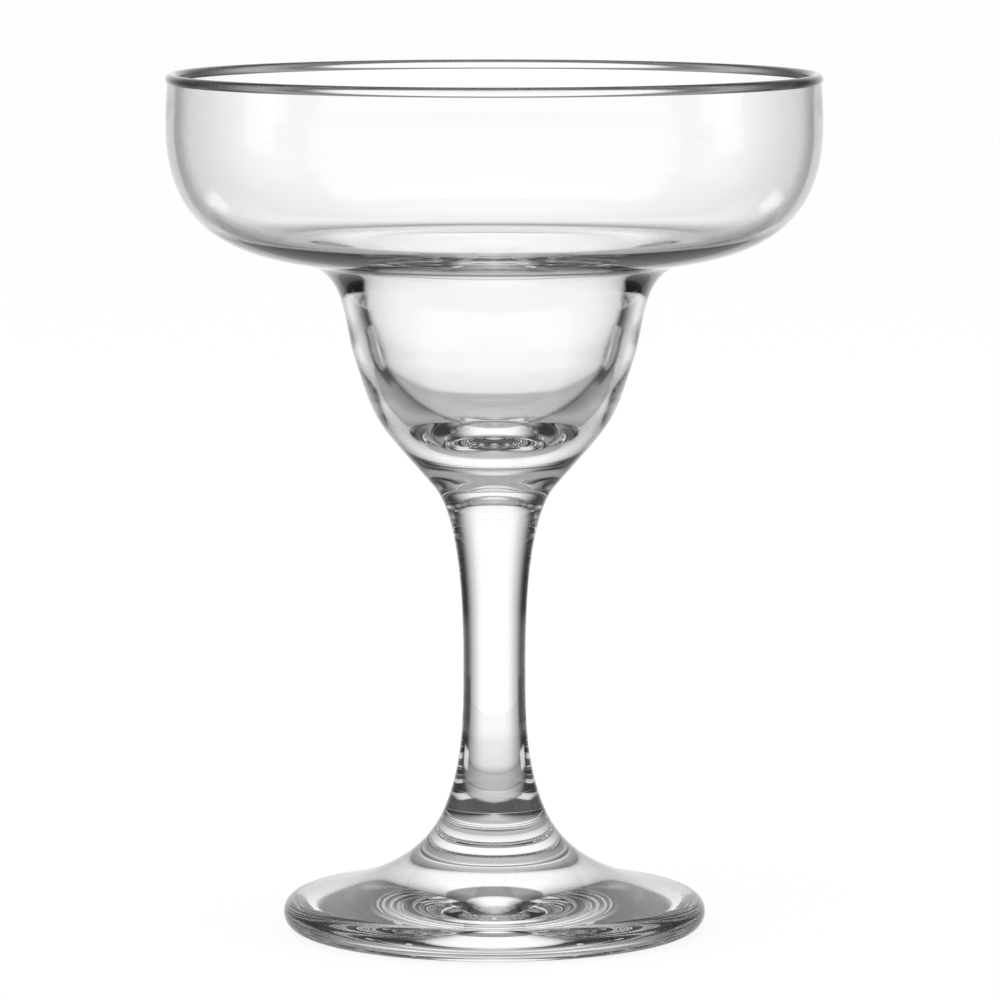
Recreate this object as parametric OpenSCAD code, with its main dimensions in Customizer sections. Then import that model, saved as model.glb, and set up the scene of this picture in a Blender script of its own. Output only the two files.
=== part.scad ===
// Margarita glass in clear soda-lime glass.
// Three gathers of glass, the foot, the stem and the bowl, are welded end to end while hot, and a flame
// melts the bowl's cut edge into a round bead. Every piece is a body of revolution about Z.
// The glass stands on Z = 0 with the axis of the stem at the origin.

/* [Bowl] */
// Largest outside diameter of the bowl
bowl_d = 117; // [100:1:130]
// Height of the wide basin, from its floor line to the middle of the rim bead
basin_h = 32.5; // [26:0.1:40]
// Height of the belly, where the basin is widest, below the middle of the rim bead
belly_drop = 8.3; // [5:0.1:11]
// How far the wall leans in between the belly and the rim
rim_lean = 0.3; // [0:0.05:1]
// Height of the lower cup, from the weld on the stem to the basin's floor line
cup_h = 40.3; // [34:0.1:48]
// Outside diameter of the lower cup, at its middle
cup_d = 50.4; // [44:0.2:58]
// Outside diameter at the basin's floor line, where the cup opens into the basin
floor_d = 70.8; // [64:0.2:80]

/* [Walls] */
// Wall thickness at the rim
rim_wall = 1.4; // [1.1:0.1:1.7]
// Wall thickness at the belly
belly_wall = 1.5; // [1.2:0.1:1.9]
// Thickness of the basin's floor: its inner line lies this far above the outer one, and as far outside it
floor_wall = 2.8; // [2.3:0.1:3.3]
// How much smaller the radius of the throat is, inside the top of the cup, than the cup's outside radius
throat_inset = 2.4; // [1.8:0.1:3]
// Solid glass under the cup's hollow, down to the weld
cup_base = 8.7; // [7.5:0.1:10]

/* [Rim bead] */
// Diameter of the round bead's section
bead_d = 2; // [1.8:0.1:2.4]

/* [Stem] */
// Height of the stem between its two welds
stem_h = 58; // [46:0.5:70]
// Diameter at the waist, the stem's narrowest place
waist_d = 11.2; // [9:0.1:14]
// Diameter of the weld between the stem and the bowl
neck_d = 21.9; // [18:0.1:26]
// Diameter of the weld between the stem and the foot
ankle_d = 17.7; // [15:0.1:21]

/* [Foot] */
// Diameter of the foot
foot_d = 76; // [64:1:90]
// Height of the foot, from the table to the weld
foot_h = 22; // [18:0.5:27]
// Radius of the foot's rounded edge
edge_r = 3; // [2.2:0.1:3.6]
// Width of the flat ring that the foot stands on
ring_w = 2.4; // [1.6:0.1:5]
// Height of the shallow hollow under the foot, at its middle
kick_h = 2.6; // [1:0.1:3.6]

/* [Hidden] */
$fn = 96;

// Chords in each stretch of an outline
steps = 18;

// Levels of the welds and lines, from the table up
ankle_z = foot_h;
neck_z = ankle_z + stem_h;
floor_z = neck_z + cup_h;
rim_z = floor_z + basin_h;
belly_z = rim_z - belly_drop;

// Headings of the outline, in degrees from straight outwards, turning up
straight_out = 0;
straight_up = 90;
kick_heading = -12;
edge_heading = 167.5;
ankle_heading = 111.7;
neck_heading = 49.2;
cup_heading = 72.7;
floor_heading = 7.2;
rim_heading = 93;
throat_heading = 77.2;
bed_heading = 3.5;

// Places along a height, as shares of it
waist_share = 0.446;
cup_share = 0.588;
throat_share = 0.769;

// How far each stretch keeps to the headings at its two ends, as shares of the distance between them
underside_shares = [0.22, 0.12];
foot_top_shares = [0.335, 0.385];
lower_stem_shares = [0.34, 0.37];
upper_stem_shares = [0.33, 0.225];
cup_foot_shares = [0.585, 0.5];
cup_side_shares = [0.32, 0.48];
basin_shares = [0.52, 0.385];
rim_shares = [0.44, 0.44];
hollow_shares = [0.352, 0.57];
mouth_shares = [0.24, 0.65];
bed_shares = [0.522, 0.358];

// The flat top edge that carries the bead lies this far below the bead's middle
half_bead = bead_d / 2;
bead_drop = sqrt(half_bead * half_bead - rim_wall * rim_wall / 4);

bowl_r = bowl_d / 2;
cup_r = cup_d / 2;
neck_r = neck_d / 2;
ankle_r = ankle_d / 2;
waist_r = waist_d / 2;
rim_r = bowl_r - rim_lean;
edge_top_angle = edge_heading - straight_up;

// Knots of the outside, from the table up: [radius, height]
edge_centre = [foot_d / 2 - edge_r, edge_r];
edge_top = edge_centre + edge_r * [cos(edge_top_angle), sin(edge_top_angle)];
ankle = [ankle_r, ankle_z];
waist = [waist_r, ankle_z + waist_share * stem_h];
neck = [neck_r, neck_z];
cup = [cup_r, neck_z + cup_share * cup_h];
floor_line = [floor_d / 2, floor_z];
belly = [bowl_r, belly_z];
rim = [rim_r, rim_z - bead_drop];

// Knots of the bowl's inside, from the bottom of the hollow up
bottom_in = [0, neck_z + cup_base];
throat = [cup_r - throat_inset, neck_z + throat_share * cup_h];
bed = floor_line + [floor_wall, floor_wall];
belly_in = belly - [belly_wall, 0];
rim_in = rim - [rim_wall, 0];

// The point at a distance from p along a heading
function ahead(p, heading, distance) = p + distance * [cos(heading), sin(heading)];

// Chords of a smooth curve from a to b. It leaves a along heading_a and reaches b along heading_b,
// and the two shares say how far it keeps to each.
function curve(a, heading_a, b, heading_b, shares) =
    let (span = norm(b - a))
    let (c = ahead(a, heading_a, shares[0] * span))
    let (d = ahead(b, heading_b, -shares[1] * span))
    [
        for (i = [0 : steps])
            let (t = i / steps)
            let (s = 1 - t)
            s * s * s * a + 3 * s * s * t * c + 3 * s * t * t * d + t * t * t * b
    ];

// Chords of a round arc about a centre, from one angle to another
function arc(centre, radius, from, to) = [
    for (i = [0 : steps])
        let (angle = from + (to - from) * i / steps)
        ahead(centre, angle, radius)
];

// A list of points without the first
function rest(points) = [for (i = [1 : len(points) - 1]) points[i]];

// A list of points in the opposite order
function backwards(points) = [for (i = [len(points) - 1 : -1 : 0]) points[i]];

// Pressed foot: rounded edge, top that sweeps up to the weld, and a shallow hollow underneath
module foot() {
    ring_inside = [edge_centre[0] - ring_w, 0];
    underside = curve([0, kick_h], straight_out, ring_inside, kick_heading, underside_shares);
    edge = arc(edge_centre, edge_r, -straight_up, edge_top_angle);
    top = curve(edge_top, edge_heading, ankle, ankle_heading, foot_top_shares);
    color("gainsboro", 0.5)
        rotate_extrude()
            polygon(concat(underside, edge, rest(top), [[0, ankle_z]]));
}

// Solid stem, waisted, that flares to its welds
module stem() {
    lower = curve(ankle, ankle_heading, waist, straight_up, lower_stem_shares);
    upper = curve(waist, straight_up, neck, neck_heading, upper_stem_shares);
    color("whitesmoke", 0.5)
        rotate_extrude()
            polygon(concat([[0, ankle_z]], lower, rest(upper), [[0, neck_z]]));
}

// Blown bowl: thick round cup that opens through a shoulder into the wide basin
module bowl() {
    cup_foot = curve(neck, neck_heading, cup, cup_heading, cup_foot_shares);
    cup_side = curve(cup, cup_heading, floor_line, floor_heading, cup_side_shares);
    basin_side = curve(floor_line, floor_heading, belly, straight_up, basin_shares);
    rim_side = curve(belly, straight_up, rim, rim_heading, rim_shares);
    outside = concat(cup_foot, rest(cup_side), rest(basin_side), rest(rim_side));

    hollow = curve(bottom_in, straight_out, throat, throat_heading, hollow_shares);
    mouth = curve(throat, throat_heading, bed, bed_heading, mouth_shares);
    basin_inside = curve(bed, bed_heading, belly_in, straight_up, bed_shares);
    rim_inside = curve(belly_in, straight_up, rim_in, rim_heading, rim_shares);
    inside = concat(hollow, rest(mouth), rest(basin_inside), rest(rim_inside));

    color("aliceblue", 0.5)
        rotate_extrude()
            polygon(concat([[0, neck_z]], outside, backwards(inside)));
}

// Round bead that the flame draws from the bowl's cut edge
module rim_bead() {
    color("lightcyan", 0.5)
        rotate_extrude()
            translate([rim_r - rim_wall / 2, rim_z])
                difference() {
                    circle(d = bead_d);
                    translate([-bead_d, -bead_drop - bead_d])
                        square([2 * bead_d, bead_d]);
                }
}

foot();
stem();
bowl();
rim_bead();
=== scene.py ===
"""Visual model of a clear margarita glass, and the small studio that it stands in.

The glass is four turned pieces, the foot, the stem, the bowl and the bead on the bowl's rim, welded end to
end. Each is a closed mesh that a Geometry Nodes lathe turns from a half-section about the stem's axis. Sizes
of the glass are in millimetres, heights are above the table, and headings are in degrees from straight
outwards, turning up. The studio's sizes are in metres.

Clear glass shows nothing but what stands round it, so the studio is lit as glass is photographed: a bright
wall behind the glass, a dimmer one in front of it, dark screens to both sides, and a pale table. The camera
sees plain white.
"""

from __future__ import annotations

import logging
import math
from dataclasses import dataclass
from enum import Enum

import bpy
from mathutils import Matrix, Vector

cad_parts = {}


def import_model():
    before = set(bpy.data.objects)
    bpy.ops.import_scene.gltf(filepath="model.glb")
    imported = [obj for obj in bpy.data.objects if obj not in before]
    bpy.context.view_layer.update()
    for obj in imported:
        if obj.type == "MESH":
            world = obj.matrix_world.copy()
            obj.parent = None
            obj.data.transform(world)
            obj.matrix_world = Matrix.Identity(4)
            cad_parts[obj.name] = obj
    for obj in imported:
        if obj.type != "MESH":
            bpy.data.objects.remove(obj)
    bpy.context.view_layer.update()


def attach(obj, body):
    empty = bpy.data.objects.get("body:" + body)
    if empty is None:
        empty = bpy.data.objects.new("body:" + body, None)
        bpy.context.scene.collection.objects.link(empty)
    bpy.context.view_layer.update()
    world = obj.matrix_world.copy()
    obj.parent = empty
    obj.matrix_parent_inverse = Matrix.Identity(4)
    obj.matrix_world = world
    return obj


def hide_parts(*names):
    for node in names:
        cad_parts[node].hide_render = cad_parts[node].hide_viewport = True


LOG = logging.getLogger("margarita_glass")

MM = 0.001
BODY = "root"

STRAIGHT_OUT = 0.0
STRAIGHT_UP = 90.0
HALF_TURN = 180.0
FULL_TURN = 2 * math.pi
WHITE = (1.0, 1.0, 1.0, 1.0)

# Chords in each stretch of an outline, and how near two points lie that count as one, in millimetres
CURVE_STEPS = 40
TOUCH = 1e-4

# How many faces a light path may cross, and how many it may be mirrored by
GLASS_BOUNCES = 32
GLOSSY_BOUNCES = 16

Point = tuple[float, float]
Heights = tuple[float, float]
Shares = tuple[float, float]
Stops = tuple[Point, ...]
Place = tuple[float, float, float]
Color = tuple[float, float, float, float]
Inputs = dict[str | int, object]
Socket = bpy.types.NodeSocket
Material = bpy.types.Material


class Node(Enum):
    """The solids of the CAD model that the pieces of glass stand for."""

    FOOT = "foot"
    STEM = "stem"
    BOWL = "bowl"
    RIM_BEAD = "rim_bead"


class Ray(Enum):
    """The kinds of light path that a surface can tell apart."""

    CAMERA = "Is Camera Ray"
    SHADOW = "Is Shadow Ray"
    REFLECTED = "Is Glossy Ray"
    BENT = "Is Transmission Ray"


class Graph:
    """A node tree that is filled one node at a time."""

    def __init__(self, tree: bpy.types.NodeTree) -> None:
        """Takes over a tree and empties it.

        Args:
            tree: The node tree of a material, a world or a Geometry Nodes group.
        """
        self.tree = tree
        tree.nodes.clear()

    def add(self, kind: str, inputs: Inputs | None = None, **settings: object) -> bpy.types.Node:
        """Adds a node.

        Args:
            kind: The node's type name.
            inputs: Values, or other nodes' outputs, by the name or the number of the input that takes them.
            settings: The node's own properties.

        Returns:
            The new node.
        """
        node = self.tree.nodes.new(kind)
        for name, value in settings.items():
            setattr(node, name, value)
        for key, value in (inputs or {}).items():
            if isinstance(value, Socket):
                self.tree.links.new(value, node.inputs[key])
            else:
                node.inputs[key].default_value = value
        return node

    def math(self, operation: str, *values: float | Socket) -> Socket:
        """Adds a Math node and returns its result."""
        return self.add("ShaderNodeMath", dict(enumerate(values)), operation=operation).outputs[0]

    def follow(self, value: Socket, stops: Stops) -> Socket:
        """Adds a smooth line through a few stops.

        Args:
            value: What the line follows.
            stops: Pairs of a value and the result there, from the lowest value to the highest.

        Returns:
            The line's result.
        """
        low, high = stops[0][0], stops[-1][0]
        inputs = {"Value": value, "From Min": low, "From Max": high}
        share = self.add("ShaderNodeMapRange", inputs).outputs[0]
        node = self.add("ShaderNodeFloatCurve", {"Value": share})
        line = node.mapping.curves[0]
        for _ in stops[2:]:
            line.points.new(1.0, 1.0)
        for point, (place, result) in zip(line.points, stops):
            point.location = ((place - low) / (high - low), result)
            point.handle_type = "AUTO_CLAMPED"
        node.mapping.update()
        return node.outputs[0]

    def either(self, *rays: Ray) -> Socket:
        """Returns 1 on the given kinds of light path and 0 on all others."""
        path = self.add("ShaderNodeLightPath").outputs
        result = path[rays[0].value]
        for ray in rays[1:]:
            result = self.math("MAXIMUM", result, path[ray.value])
        return result


def ahead(p: Point, heading: float, distance: float) -> Point:
    """Returns the point at a distance from p along a heading."""
    angle = math.radians(heading)
    return (p[0] + distance * math.cos(angle), p[1] + distance * math.sin(angle))


def eased(count: int) -> list[float]:
    """Returns count + 1 places from 0 to 1 that crowd towards both ends."""
    return [(1 - math.cos(math.pi * i / count)) / 2 for i in range(count + 1)]


def curve(a: Point, heading_a: float, b: Point, heading_b: float, shares: Shares) -> list[Point]:
    """Draws a smooth curve that leaves a along heading_a and reaches b along heading_b.

    Args:
        a: Where the curve starts.
        heading_a: Its direction there.
        b: Where the curve ends.
        heading_b: Its direction there.
        shares: How far it keeps to each of the two headings, as shares of the distance from a to b.

    Returns:
        The curve's points, both ends with them, crowded towards the ends.
    """
    span = math.dist(a, b)
    c = ahead(a, heading_a, shares[0] * span)
    d = ahead(b, heading_b, -shares[1] * span)
    points = []
    for t in eased(CURVE_STEPS):
        s = 1 - t
        weights = (s**3, 3 * s * s * t, 3 * s * t * t, t**3)
        terms = list(zip(weights, (a, c, d, b)))
        points.append((sum(w * p[0] for w, p in terms), sum(w * p[1] for w, p in terms)))
    return points


def arc(centre: Point, radius: float, start: float, end: float) -> list[Point]:
    """Returns the points of a round arc about a centre, from one angle to another."""
    return [ahead(centre, start + (end - start) * t, radius) for t in eased(CURVE_STEPS)]


def joined(*stretches: list[Point]) -> list[Point]:
    """Returns the stretches as one list, with each point that two of them share given once."""
    points: list[Point] = []
    for stretch in stretches:
        skip = 1 if points and math.dist(points[-1], stretch[0]) < TOUCH else 0
        points += stretch[skip:]
    return points


# Painted edge shade: the glass's base colour, darker where it is seen at a slant, from face on, at 0, to along
# the surface, at 1
WALL_PAINTED_EDGE_SHADE: Stops = (
    (0.0, 1.0),
    (0.66, 1.0),
    (0.73, 0.8),
    (0.79, 0.45),
    (0.86, 0.15),
    (0.92, 0.03),
    (1.0, 0.0),
)
# Deeper painted edge shade for the rim bead: painted dark lines along its edges, where it is seen at a slant
RIM_PAINTED_EDGE_SHADE: Stops = (
    (0.0, 1.0),
    (0.09, 1.0),
    (0.15, 0.45),
    (0.21, 0.04),
    (0.3, 0.12),
    (0.5, 0.3),
    (0.7, 0.05),
    (1.0, 0.0),
)


@dataclass(frozen=True)
class ClearGlass:
    """Colourless fire-polished glass, with the faint waves that the flame leaves in its surface.

    The waves' height is in metres. Its base colour darkens where it is seen at a slant: painted shade that
    stands in for the dark lines that clear glass shows along its edges, where it bends the dark parts of a
    room into view.
    """

    name: str = "clear_glass"
    ior: float = 1.5
    roughness: float = 0.0
    shadow: Color = (0.86, 0.87, 0.87, 1.0)
    wave_scale: float = 70.0
    wave_detail: float = 1.5
    wave_height: float = 0.000008
    wave_strength: float = 0.6
    painted_edge_shade: Stops = WALL_PAINTED_EDGE_SHADE

    def material(self) -> Material:
        """Builds the material.

        Returns:
            Glass that bends light, with painted shade darkening it where it is seen at a slant, and a light
            shadow.
        """
        material = bpy.data.materials.new(self.name)
        material.use_nodes = True
        graph = Graph(material.node_tree)
        place = graph.add("ShaderNodeTexCoord").outputs["Object"]
        inputs = {"Vector": place, "Scale": self.wave_scale, "Detail": self.wave_detail}
        waves = graph.add("ShaderNodeTexNoise", inputs).outputs[0]
        inputs = {"Strength": self.wave_strength, "Distance": self.wave_height, "Height": waves}
        surface = graph.add("ShaderNodeBump", inputs).outputs[0]
        # Painted edge shade: the base colour darkens with the slant at which the surface is seen
        slant = graph.add("ShaderNodeLayerWeight").outputs["Facing"]
        tone = graph.follow(slant, self.painted_edge_shade)
        inputs = {
            "Base Color": tone,
            "Roughness": self.roughness,
            "IOR": self.ior,
            "Transmission Weight": 1.0,
            "Normal": surface,
        }
        glass = graph.add("ShaderNodeBsdfPrincipled", inputs).outputs[0]
        shade = graph.add("ShaderNodeBsdfTransparent", {"Color": self.shadow}).outputs[0]
        mix = graph.add("ShaderNodeMixShader", {0: graph.either(Ray.SHADOW), 1: glass, 2: shade}).outputs[0]
        graph.add("ShaderNodeOutputMaterial", {"Surface": mix})
        return material


@dataclass(frozen=True)
class FusedWeld:
    """Face inside the glass where two pieces have melted into each other, which light passes unbent."""

    name: str = "fused_weld"

    def material(self) -> Material:
        """Builds the material.

        Returns:
            A surface that can't be seen.
        """
        material = bpy.data.materials.new(self.name)
        material.use_nodes = True
        graph = Graph(material.node_tree)
        clear = graph.add("ShaderNodeBsdfTransparent", {"Color": WHITE}).outputs[0]
        graph.add("ShaderNodeOutputMaterial", {"Surface": clear})
        return material


class Finishes:
    """The materials of the glass, each made once."""

    def __init__(self) -> None:
        """Makes the materials."""
        self.glass = ClearGlass().material()
        # The rim bead's glass, with deeper painted shade at a slant for its dark outlines
        self.rim = ClearGlass(name="rim_glass_with_painted_dark_edges", painted_edge_shade=RIM_PAINTED_EDGE_SHADE).material()
        self.weld = FusedWeld().material()


class Lathe:
    """Geometry Nodes tree that turns a half-section about Z into a closed mesh.

    The grid that it rolls up has a row for each point of the half-section, a unit apart, and a column for each
    segment over a width of one unit. Merge and level are distances in metres: between points that become one,
    and between a face and the weld that it belongs to.
    """

    NAME = "Lathe"
    SEGMENTS = 288
    WIDTH = 1.0
    MERGE = 1e-6
    LEVEL = 1e-6
    NO_WELD = -1.0
    INPUTS = (
        ("Profile", "NodeSocketGeometry"),
        ("Segments", "NodeSocketInt"),
        ("Lower Weld", "NodeSocketFloat"),
        ("Upper Weld", "NodeSocketFloat"),
        ("Glass", "NodeSocketMaterial"),
        ("Weld", "NodeSocketMaterial"),
    )

    def __init__(self) -> None:
        """Builds the tree."""
        self.tree = bpy.data.node_groups.new(self.NAME, "GeometryNodeTree")
        for name, kind in self.INPUTS:
            self.tree.interface.new_socket(name, in_out="INPUT", socket_type=kind)
        self.tree.interface.new_socket("Turned", in_out="OUTPUT", socket_type="NodeSocketGeometry")
        self.identifiers = {item.name: item.identifier for item in self.tree.interface.items_tree}
        self._fill()

    def _fill(self) -> None:
        """Adds the nodes: a flat grid, rolled up round the axis, welded shut and given its materials."""
        graph = Graph(self.tree)
        given = graph.add("NodeGroupInput").outputs
        size = graph.add("GeometryNodeAttributeDomainSize", {"Geometry": given["Profile"]})
        rows = size.outputs["Point Count"]
        last_row = graph.math("SUBTRACT", rows, 1.0)
        columns = graph.math("ADD", given["Segments"], 1.0)
        sizes = {"Size X": last_row, "Size Y": self.WIDTH, "Vertices X": rows, "Vertices Y": columns}
        grid = graph.add("GeometryNodeMeshGrid", sizes).outputs["Mesh"]
        place = graph.add("GeometryNodeInputPosition").outputs[0]
        flat = graph.add("ShaderNodeSeparateXYZ", {0: place}).outputs
        row = graph.math("ROUND", graph.math("ADD", flat["X"], graph.math("DIVIDE", last_row, 2.0)))
        across = graph.math("ADD", flat["Y"], self.WIDTH / 2)
        angle = graph.math("MULTIPLY", across, -FULL_TURN / self.WIDTH)
        inputs = {"Geometry": given["Profile"]}
        sample = graph.add("GeometryNodeSampleIndex", inputs, data_type="FLOAT_VECTOR")
        self.tree.links.new(place, sample.inputs["Value"])
        self.tree.links.new(row, sample.inputs["Index"])
        drawn = graph.add("ShaderNodeSeparateXYZ", {0: sample.outputs["Value"]}).outputs
        x = graph.math("MULTIPLY", drawn["X"], graph.math("COSINE", angle))
        y = graph.math("MULTIPLY", drawn["X"], graph.math("SINE", angle))
        target = graph.add("ShaderNodeCombineXYZ", {"X": x, "Y": y, "Z": drawn["Z"]}).outputs[0]
        rolled = graph.add("GeometryNodeSetPosition", {"Geometry": grid, "Position": target}).outputs[0]
        inputs = {"Geometry": rolled, "Distance": self.MERGE}
        shut = graph.add("GeometryNodeMergeByDistance", inputs).outputs[0]
        height = graph.add("ShaderNodeSeparateXYZ", {0: place}).outputs["Z"]
        low = graph.math("COMPARE", height, given["Lower Weld"], self.LEVEL)
        high = graph.math("COMPARE", height, given["Upper Weld"], self.LEVEL)
        weld = graph.math("MAXIMUM", low, high)
        inputs = {"Geometry": shut, "Shade Smooth": True}
        smooth = graph.add("GeometryNodeSetShadeSmooth", inputs).outputs[0]
        inputs = {"Geometry": smooth, "Selection": weld, "Shade Smooth": False}
        crisp = graph.add("GeometryNodeSetShadeSmooth", inputs).outputs[0]
        real = graph.add("GeometryNodeRealizeInstances", {"Geometry": crisp}).outputs[0]
        inputs = {"Geometry": real, "Material": given["Glass"]}
        clear = graph.add("GeometryNodeSetMaterial", inputs).outputs[0]
        inputs = {"Geometry": clear, "Selection": weld, "Material": given["Weld"]}
        done = graph.add("GeometryNodeSetMaterial", inputs).outputs[0]
        graph.add("NodeGroupOutput", {"Turned": done})

    def turn(
        self, name: str, points: list[Point], welds: Heights, glass: Material, weld: Material
    ) -> bpy.types.Object:
        """Turns a half-section into a finished piece.

        Args:
            name: The piece's name.
            points: The half-section, from the axis round the outside and back.
            welds: Heights of the flat faces below and above that are welded to the next piece, or NO_WELD.
            glass: The material of its surface.
            weld: The material of its welds.

        Returns:
            The piece, a plain closed mesh at the origin.
        """
        mesh = bpy.data.meshes.new(name)
        corners = [(radius * MM, 0.0, height * MM) for radius, height in points]
        mesh.from_pydata(corners, [(i, i + 1) for i in range(len(corners) - 1)], [])
        piece = bpy.data.objects.new(name, mesh)
        bpy.context.collection.objects.link(piece)
        modifier = piece.modifiers.new(self.NAME, "NODES")
        modifier.node_group = self.tree
        values = {
            "Segments": self.SEGMENTS,
            "Lower Weld": welds[0] * MM,
            "Upper Weld": welds[1] * MM,
            "Glass": glass,
            "Weld": weld,
        }
        for key, value in values.items():
            modifier[self.identifiers[key]] = value
        finished = piece.evaluated_get(bpy.context.evaluated_depsgraph_get())
        turned = bpy.data.meshes.new_from_object(finished)
        piece.modifiers.remove(modifier)
        piece.data = turned
        turned.name = name
        bpy.data.meshes.remove(mesh)
        return piece


@dataclass
class Foot:
    """Pressed round foot, whose top sweeps up to the stem."""

    node: Node = Node.FOOT
    diameter: float = 76.0
    height: float = 22.0
    edge_radius: float = 3.0
    edge_heading: float = 167.5
    ankle_radius: float = 8.85
    ankle_heading: float = 111.7
    top_shares: Shares = (0.335, 0.385)
    ring_width: float = 2.4
    kick_height: float = 2.6
    kick_heading: float = -12.0
    underside_shares: Shares = (0.22, 0.12)

    @property
    def ankle(self) -> Point:
        """Where the foot's outline meets the stem's."""
        return (self.ankle_radius, self.height)

    def outline(self) -> list[Point]:
        """Returns the half-section: underside, rounded edge, top and weld."""
        centre = (self.diameter / 2 - self.edge_radius, self.edge_radius)
        ring = (centre[0] - self.ring_width, 0.0)
        kick = (0.0, self.kick_height)
        underside = curve(kick, STRAIGHT_OUT, ring, self.kick_heading, self.underside_shares)
        edge = arc(centre, self.edge_radius, -STRAIGHT_UP, self.edge_heading - STRAIGHT_UP)
        top = curve(edge[-1], self.edge_heading, self.ankle, self.ankle_heading, self.top_shares)
        return joined(underside, edge, top, [(0.0, self.height)])

    def build(self, lathe: Lathe, finishes: Finishes) -> bpy.types.Object:
        """Turns the foot."""
        welds = (lathe.NO_WELD, self.height)
        return lathe.turn("glass_foot", self.outline(), welds, finishes.glass, finishes.weld)


@dataclass
class Stem:
    """Solid waisted stem."""

    foot: Foot
    node: Node = Node.STEM
    height: float = 58.0
    waist_radius: float = 5.6
    waist_share: float = 0.446
    neck_radius: float = 10.95
    neck_heading: float = 49.2
    lower_shares: Shares = (0.34, 0.37)
    upper_shares: Shares = (0.33, 0.225)

    @property
    def neck(self) -> Point:
        """Where the stem's outline meets the bowl's."""
        return (self.neck_radius, self.foot.height + self.height)

    def outline(self) -> list[Point]:
        """Returns the half-section: weld, lower flare, upper flare and weld."""
        foot, top = self.foot, self.neck
        waist = (self.waist_radius, foot.height + self.waist_share * self.height)
        lower = curve(foot.ankle, foot.ankle_heading, waist, STRAIGHT_UP, self.lower_shares)
        upper = curve(waist, STRAIGHT_UP, top, self.neck_heading, self.upper_shares)
        return joined([(0.0, foot.height)], lower, upper, [(0.0, top[1])])

    def build(self, lathe: Lathe, finishes: Finishes) -> bpy.types.Object:
        """Turns the stem."""
        welds = (self.foot.height, self.neck[1])
        return lathe.turn("glass_stem", self.outline(), welds, finishes.glass, finishes.weld)


@dataclass
class Bowl:
    """Blown bowl: a thick round cup that opens through a shoulder into a wide basin."""

    stem: Stem
    node: Node = Node.BOWL
    bead_diameter: float = 2.0
    diameter: float = 117.0
    cup_height: float = 40.3
    cup_diameter: float = 50.4
    cup_share: float = 0.588
    cup_heading: float = 72.7
    floor_diameter: float = 70.8
    floor_heading: float = 7.2
    basin_height: float = 32.5
    belly_drop: float = 8.3
    rim_lean: float = 0.3
    rim_heading: float = 93.0
    cup_foot_shares: Shares = (0.585, 0.5)
    cup_side_shares: Shares = (0.32, 0.48)
    basin_shares: Shares = (0.52, 0.385)
    rim_shares: Shares = (0.44, 0.44)
    rim_wall: float = 1.4
    belly_wall: float = 1.5
    floor_wall: float = 2.8
    throat_inset: float = 2.4
    throat_share: float = 0.769
    throat_heading: float = 77.2
    cup_base: float = 8.7
    bed_heading: float = 3.5
    hollow_shares: Shares = (0.352, 0.57)
    mouth_shares: Shares = (0.24, 0.65)
    bed_shares: Shares = (0.522, 0.358)

    @property
    def rim(self) -> Point:
        """Outer edge of the rim, at the level of the bead's middle."""
        return (self.diameter / 2 - self.rim_lean, self.stem.neck[1] + self.cup_height + self.basin_height)

    @property
    def flat(self) -> Point:
        """Outer edge of the wall's flat top, which carries the bead."""
        drop = math.sqrt((self.bead_diameter / 2) ** 2 - (self.rim_wall / 2) ** 2)
        return (self.rim[0], self.rim[1] - drop)

    @property
    def cup(self) -> Point:
        """Outside of the cup, at its middle."""
        return (self.cup_diameter / 2, self.stem.neck[1] + self.cup_share * self.cup_height)

    @property
    def floor(self) -> Point:
        """Outside of the basin's floor line, where the cup opens into the basin."""
        return (self.floor_diameter / 2, self.stem.neck[1] + self.cup_height)

    @property
    def belly(self) -> Point:
        """Outside of the basin, where it is widest."""
        return (self.diameter / 2, self.rim[1] - self.belly_drop)

    def outside(self) -> list[Point]:
        """Returns the outer face, from the neck up to the flat under the bead."""
        stem = self.stem
        cup_foot = curve(stem.neck, stem.neck_heading, self.cup, self.cup_heading, self.cup_foot_shares)
        cup_side = curve(self.cup, self.cup_heading, self.floor, self.floor_heading, self.cup_side_shares)
        basin = curve(self.floor, self.floor_heading, self.belly, STRAIGHT_UP, self.basin_shares)
        wall = curve(self.belly, STRAIGHT_UP, self.flat, self.rim_heading, self.rim_shares)
        return joined(cup_foot, cup_side, basin, wall)

    def inside(self) -> list[Point]:
        """Returns the inner face, from the bottom of the cup's hollow up to the flat under the bead."""
        bottom = (0.0, self.stem.neck[1] + self.cup_base)
        throat = (self.cup[0] - self.throat_inset, self.stem.neck[1] + self.throat_share * self.cup_height)
        bed = (self.floor[0] + self.floor_wall, self.floor[1] + self.floor_wall)
        belly = (self.belly[0] - self.belly_wall, self.belly[1])
        flat = (self.flat[0] - self.rim_wall, self.flat[1])
        hollow = curve(bottom, STRAIGHT_OUT, throat, self.throat_heading, self.hollow_shares)
        mouth = curve(throat, self.throat_heading, bed, self.bed_heading, self.mouth_shares)
        basin = curve(bed, self.bed_heading, belly, STRAIGHT_UP, self.bed_shares)
        wall = curve(belly, STRAIGHT_UP, flat, self.rim_heading, self.rim_shares)
        return joined(hollow, mouth, basin, wall)

    def build(self, lathe: Lathe, finishes: Finishes) -> bpy.types.Object:
        """Turns the bowl."""
        base = self.stem.neck[1]
        outline = joined([(0.0, base)], self.outside(), self.inside()[::-1])
        welds = (base, self.flat[1])
        return lathe.turn("glass_bowl", outline, welds, finishes.glass, finishes.weld)


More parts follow.
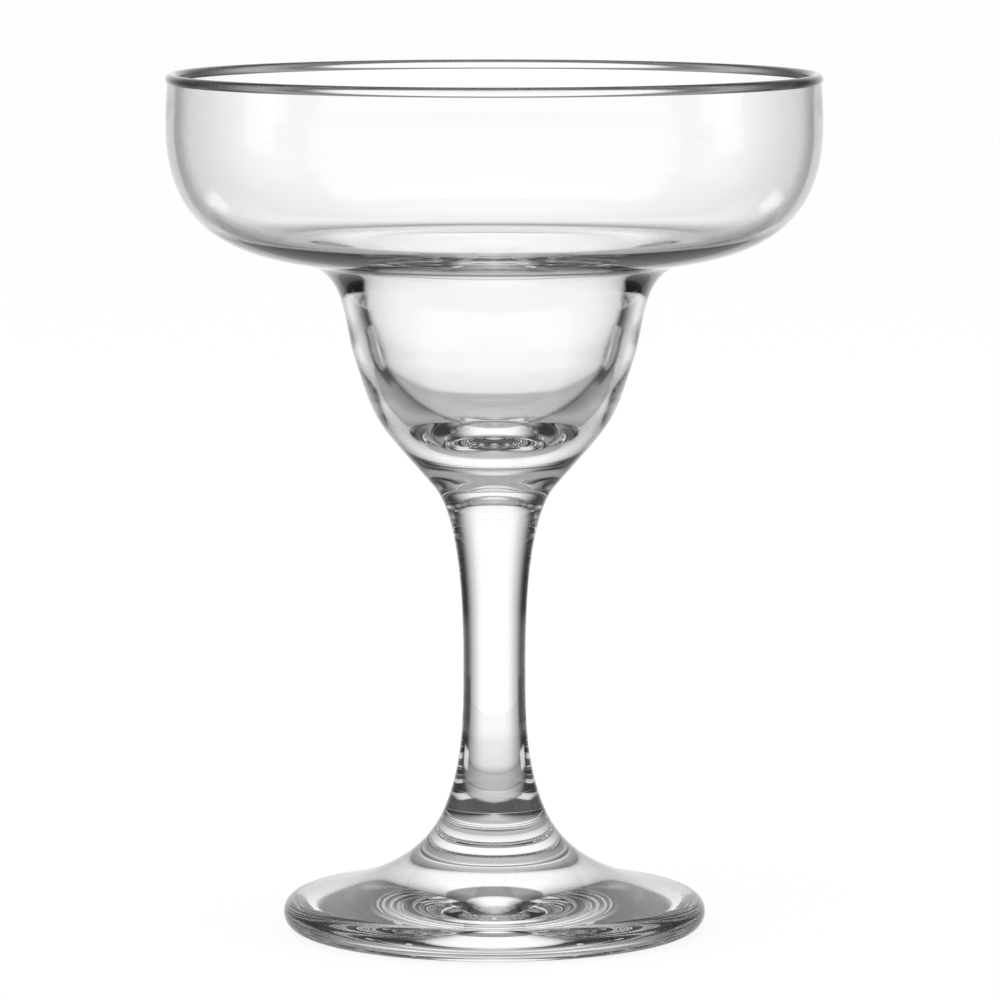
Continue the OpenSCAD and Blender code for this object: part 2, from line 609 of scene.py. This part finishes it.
@dataclass
class RimBead:
    """Round bead that the flame draws from the bowl's cut edge."""

    bowl: Bowl
    node: Node = Node.RIM_BEAD

    def outline(self) -> list[Point]:
        """Returns the section: the round over the wall's flat top, and the flat itself."""
        bowl = self.bowl
        radius = bowl.bead_diameter / 2
        dip = math.degrees(math.acos(bowl.rim_wall / 2 / radius))
        round_side = arc((bowl.rim[0] - bowl.rim_wall / 2, bowl.rim[1]), radius, -dip, HALF_TURN + dip)
        return round_side + [round_side[0]]

    def build(self, lathe: Lathe, finishes: Finishes) -> bpy.types.Object:
        """Turns the bead."""
        welds = (self.bowl.flat[1], lathe.NO_WELD)
        return lathe.turn("glass_rim_bead", self.outline(), welds, finishes.rim, finishes.weld)


@dataclass
class Camera:
    """The photograph's camera, fitted to the outline of the glass.

    Tilt is in degrees below level, the lens is in millimetres, and the other sizes are in metres.
    """

    distance: float = 1.12
    height: float = 0.2023
    tilt: float = 6.365
    lens: float = 226.5
    aside: float = 0.001
    reach: float = 100.0

    def build(self) -> None:
        """Makes the camera and gives it to the scene."""
        data = bpy.data.cameras.new("camera")
        data.lens = self.lens
        data.clip_end = self.reach
        camera = bpy.data.objects.new("camera", data)
        camera.location = (self.aside, -self.distance, self.height)
        camera.rotation_euler = (math.radians(STRAIGHT_UP - self.tilt), 0.0, 0.0)
        bpy.context.collection.objects.link(camera)
        bpy.context.scene.camera = camera


@dataclass(frozen=True)
class Pane:
    """One lit part of the room, as the glass shows it in each direction.

    The stops are pairs of an angle in degrees and the light there. Around counts from straight behind the
    glass to straight in front of it, and up counts from straight down to straight up.
    """

    around: Stops
    up: Stops

    def light(self, graph: Graph, turn: Socket, rise: Socket) -> Socket:
        """Adds the pane's light.

        Args:
            graph: The world's node tree.
            turn: The angle around.
            rise: The angle up.

        Returns:
            The light, where 1 is white.
        """
        return graph.math("MULTIPLY", graph.follow(turn, self.around), graph.follow(rise, self.up))


# Bright wall behind the glass. It fades into the screens to the sides, which a dim strip breaks, and dark
# rails cross it high up.
BACK_WALL = Pane(
    around=(
        (0.0, 1.08),
        (12.0, 1.06),
        (18.0, 0.97),
        (24.0, 0.78),
        (30.0, 0.57),
        (37.0, 0.29),
        (43.0, 0.11),
        (50.0, 0.04),
        (68.0, 0.04),
        (78.0, 0.22),
        (84.0, 0.32),
        (96.0, 0.32),
        (104.0, 0.19),
        (112.0, 0.05),
        (180.0, 0.03),
    ),
    up=(
        (-90.0, 0.3),
        (-45.0, 0.3),
        (-26.0, 0.4),
        (-23.0, 0.62),
        (-20.5, 0.84),
        (-16.0, 0.9),
        (-10.0, 1.0),
        (8.0, 1.0),
        (14.0, 0.98),
        (34.0, 0.98),
        (37.0, 0.3),
        (50.0, 0.3),
        (53.0, 0.95),
        (68.0, 0.95),
        (71.0, 0.3),
        (90.0, 0.3),
    ),
)
# Pale table and floor, which fade to the sides as the wall does.
TABLE = Pane(
    around=(
        (0.0, 0.6),
        (10.0, 0.58),
        (20.0, 0.48),
        (30.0, 0.36),
        (40.0, 0.24),
        (60.0, 0.05),
        (90.0, 0.1),
        (180.0, 0.1),
    ),
    up=((-90.0, 1.1), (-65.0, 1.1), (-50.0, 1.0), (-25.0, 1.0), (-22.0, 0.0), (90.0, 0.0)),
)
# Bright ceiling, which starts well above the glass.
CEILING = Pane(
    around=((0.0, 0.6), (30.0, 0.5), (60.0, 0.4), (180.0, 0.4)),
    up=((-90.0, 0.0), (45.0, 0.0), (65.0, 0.9), (75.0, 1.0), (90.0, 1.0)),
)
# Light strips in the back corners, low down, and at the sides. The glass is seen against them from there.
BACK_DOOR = Pane(
    around=((0.0, 0.0), (35.0, 0.0), (40.0, 0.8), (50.0, 0.8), (55.0, 0.0), (180.0, 0.0)),
    up=((-90.0, 0.0), (-30.0, 0.0), (-26.0, 1.0), (-20.8, 1.0), (-18.6, 0.0), (90.0, 0.0)),
)
SIDE_DOOR = Pane(
    around=((0.0, 0.0), (80.0, 0.0), (85.0, 0.85), (95.0, 0.85), (100.0, 0.0), (180.0, 0.0)),
    up=((-90.0, 0.0), (-11.0, 0.0), (-7.0, 1.0), (1.0, 1.0), (5.0, 0.0), (90.0, 0.0)),
)
# Lit wall in front of the glass, which it is seen against from the back.
FRONT_WALL = Pane(
    around=((0.0, 0.0), (104.0, 0.0), (122.0, 0.9), (180.0, 0.9)),
    up=((-90.0, 0.0), (-45.0, 0.0), (-35.0, 1.0), (-3.0, 1.0), (5.0, 0.0), (90.0, 0.0)),
)


def turn_behind(graph: Graph, x: Socket, y: Socket) -> Socket:
    """Returns the angle from straight behind the glass to a direction or a place, the same to both sides."""
    return graph.math("DEGREES", graph.math("ABSOLUTE", graph.math("ARCTAN2", x, y)))


@dataclass(frozen=True)
class Cards:
    """Pair of dim cards on the table behind the glass, one to each side, that only the glass sees.

    They keep the light of the back doors from the cup's wall, as it is seen from the front. Stops are pairs of
    an angle in degrees, or of a distance from the glass in metres, and the cards' cover there. The tint is the
    share of light that they let through.
    """

    around: Stops = ((0.0, 0.0), (35.0, 0.0), (40.0, 1.0), (50.0, 1.0), (55.0, 0.0), (180.0, 0.0))
    away: Stops = ((0.0, 0.0), (0.13, 0.0), (0.17, 1.0), (0.3, 1.0), (0.33, 0.0), (0.4, 0.0))
    tint: float = 0.45

    def shade(self, graph: Graph, place: Socket) -> Socket:
        """Adds the cards' shade.

        Args:
            graph: The floor's node tree.
            place: The place on the floor.

        Returns:
            The share of the light from below that is left there.
        """
        parts = graph.add("ShaderNodeSeparateXYZ", {0: place}).outputs
        turn = turn_behind(graph, parts["X"], parts["Y"])
        away = graph.add("ShaderNodeVectorMath", {0: place}, operation="LENGTH").outputs["Value"]
        cover = graph.math("MULTIPLY", graph.follow(turn, self.around), graph.follow(away, self.away))
        return graph.math("SUBTRACT", 1.0, graph.math("MULTIPLY", cover, 1.0 - self.tint))


@dataclass(frozen=True)
class Surroundings:
    """What the glass shows of the room: the lit panes, with dark screens wherever there is none."""

    panes: tuple[Pane, ...] = (BACK_WALL, TABLE, CEILING, BACK_DOOR, SIDE_DOOR, FRONT_WALL)

    def light(self, graph: Graph, along: Socket) -> Socket:
        """Adds the light that reaches the glass.

        Args:
            graph: The world's node tree.
            along: The direction that the light path runs in.

        Returns:
            The light, where 1 is white.
        """
        parts = graph.add("ShaderNodeSeparateXYZ", {0: along}).outputs
        turn = turn_behind(graph, parts["X"], parts["Y"])
        rise = graph.math("DEGREES", graph.math("ARCSINE", parts["Z"]))
        light = self.panes[0].light(graph, turn, rise)
        for pane in self.panes[1:]:
            light = graph.math("MAXIMUM", light, pane.light(graph, turn, rise))
        return light


@dataclass(frozen=True)
class PaleTable:
    """White cloth with a soft shadow for the camera, and the light from below for the glass.

    That light is a little dimmer over the table, whose half width is in metres, and under the cards.
    """

    name: str = "pale_table"
    cards: Cards = Cards()
    half: float = 0.205
    table_share: float = 0.9
    glow_share: float = 0.85
    cloth_color: Color = (0.9, 0.9, 0.9, 1.0)

    def left(self, graph: Graph) -> Socket:
        """Returns the share of the light from below that is left at each place."""
        place = graph.add("ShaderNodeTexCoord").outputs["Object"]
        parts = graph.add("ShaderNodeSeparateXYZ", {0: place}).outputs
        sides = [graph.math("ABSOLUTE", parts[axis]) for axis in ("X", "Y")]
        on_table = graph.math("LESS_THAN", graph.math("MAXIMUM", *sides), self.half)
        inputs = {"Factor": on_table, "A": 1.0, "B": self.table_share}
        tint = graph.add("ShaderNodeMix", inputs, data_type="FLOAT").outputs[0]
        return graph.math("MULTIPLY", tint, self.cards.shade(graph, place))

    def material(self) -> Material:
        """Builds the material.

        Returns:
            Glowing white cloth that light bent or mirrored by the glass passes through.
        """
        material = bpy.data.materials.new(self.name)
        material.use_nodes = True
        graph = Graph(material.node_tree)
        below = graph.add("ShaderNodeBsdfTransparent", {"Color": self.left(graph)}).outputs[0]
        glow = graph.add("ShaderNodeEmission", {"Color": WHITE, "Strength": 1.0}).outputs[0]
        cloth = graph.add("ShaderNodeBsdfDiffuse", {"Color": self.cloth_color}).outputs[0]
        share = graph.math("MULTIPLY", graph.either(Ray.CAMERA), self.glow_share)
        top = graph.add("ShaderNodeMixShader", {0: share, 1: cloth, 2: glow}).outputs[0]
        seen = graph.either(Ray.REFLECTED, Ray.BENT)
        mix = graph.add("ShaderNodeMixShader", {0: seen, 1: top, 2: below}).outputs[0]
        graph.add("ShaderNodeOutputMaterial", {"Surface": mix})
        return material


@dataclass
class Studio:
    """White room for the camera, surroundings that only the glass shows, a table and two soft lamps.

    Sizes and places are in metres, and powers in watts. The floor lies a drop below the glass.
    """

    surroundings: Surroundings = Surroundings()
    table: PaleTable = PaleTable()
    size: float = 12.0
    drop: float = 0.0001
    lamp_size: float = 1.2
    key_place: Place = (-1.2, -1.0, 1.8)
    key_power: float = 12.0
    fill_place: Place = (1.4, -0.6, 1.4)
    fill_power: float = 6.0
    aim_height: float = 0.08

    def build(self) -> None:
        """Makes the world, the floor and the lamps."""
        self.world()
        self.floor()
        self.lamp("key_light", self.key_place, self.key_power)
        self.lamp("fill_light", self.fill_place, self.fill_power)

    def world(self) -> None:
        """Lights the room: white for the camera, and walls and screens that only the glass shows."""
        world = bpy.data.worlds.new("room")
        bpy.context.scene.world = world
        world.use_nodes = True
        graph = Graph(world.node_tree)
        along = graph.add("ShaderNodeTexCoord").outputs["Generated"]
        shown = self.surroundings.light(graph, along)
        seen = graph.either(Ray.REFLECTED, Ray.BENT)
        inputs = {"Factor": seen, "A": 1.0, "B": shown}
        shade = graph.add("ShaderNodeMix", inputs, data_type="FLOAT").outputs[0]
        light = graph.add("ShaderNodeBackground", {"Color": WHITE, "Strength": shade}).outputs[0]
        graph.add("ShaderNodeOutputWorld", {"Surface": light})

    def floor(self) -> None:
        """Lays the floor, a large square under the glass."""
        mesh = bpy.data.meshes.new("floor")
        half = self.size / 2
        corners = [(-half, -half), (half, -half), (half, half), (-half, half)]
        mesh.from_pydata([(x, y, -self.drop) for x, y in corners], [], [(0, 1, 2, 3)])
        floor = bpy.data.objects.new("floor", mesh)
        bpy.context.collection.objects.link(floor)
        mesh.materials.append(self.table.material())

    def lamp(self, name: str, place: Place, power: float) -> None:
        """Hangs a square soft lamp that points at the glass.

        Args:
            name: The lamp's name.
            place: Where it hangs, in metres.
            power: Its power in watts.
        """
        data = bpy.data.lights.new(name, "AREA")
        data.size = self.lamp_size
        data.energy = power
        lamp = bpy.data.objects.new(name, data)
        lamp.location = place
        aim = Vector((0.0, 0.0, self.aim_height)) - Vector(place)
        lamp.rotation_euler = aim.to_track_quat("-Z", "Y").to_euler()
        lamp.visible_glossy = False
        lamp.visible_transmission = False
        bpy.context.collection.objects.link(lamp)


def settings() -> None:
    """Sets the colour view, and lets light cross as many faces as the glass has."""
    scene = bpy.context.scene
    scene.view_settings.view_transform = "Standard"
    scene.cycles.max_bounces = GLASS_BOUNCES
    scene.cycles.transmission_bounces = GLASS_BOUNCES
    scene.cycles.glossy_bounces = GLOSSY_BOUNCES
    scene.cycles.transparent_max_bounces = GLASS_BOUNCES


def main() -> None:
    """Builds the glass and its studio in order, and puts each piece on its body."""
    logging.basicConfig(level=logging.INFO, format="%(message)s")
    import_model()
    settings()
    Camera().build()
    Studio().build()
    finishes = Finishes()
    lathe = Lathe()
    foot = Foot()
    stem = Stem(foot)
    bowl = Bowl(stem)
    for part in (foot, stem, bowl, RimBead(bowl)):
        piece = part.build(lathe, finishes)
        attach(piece, BODY)
        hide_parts(part.node.value)
        LOG.info("%s: %d faces", piece.name, len(piece.data.polygons))


if __name__ == "__main__":
    main()
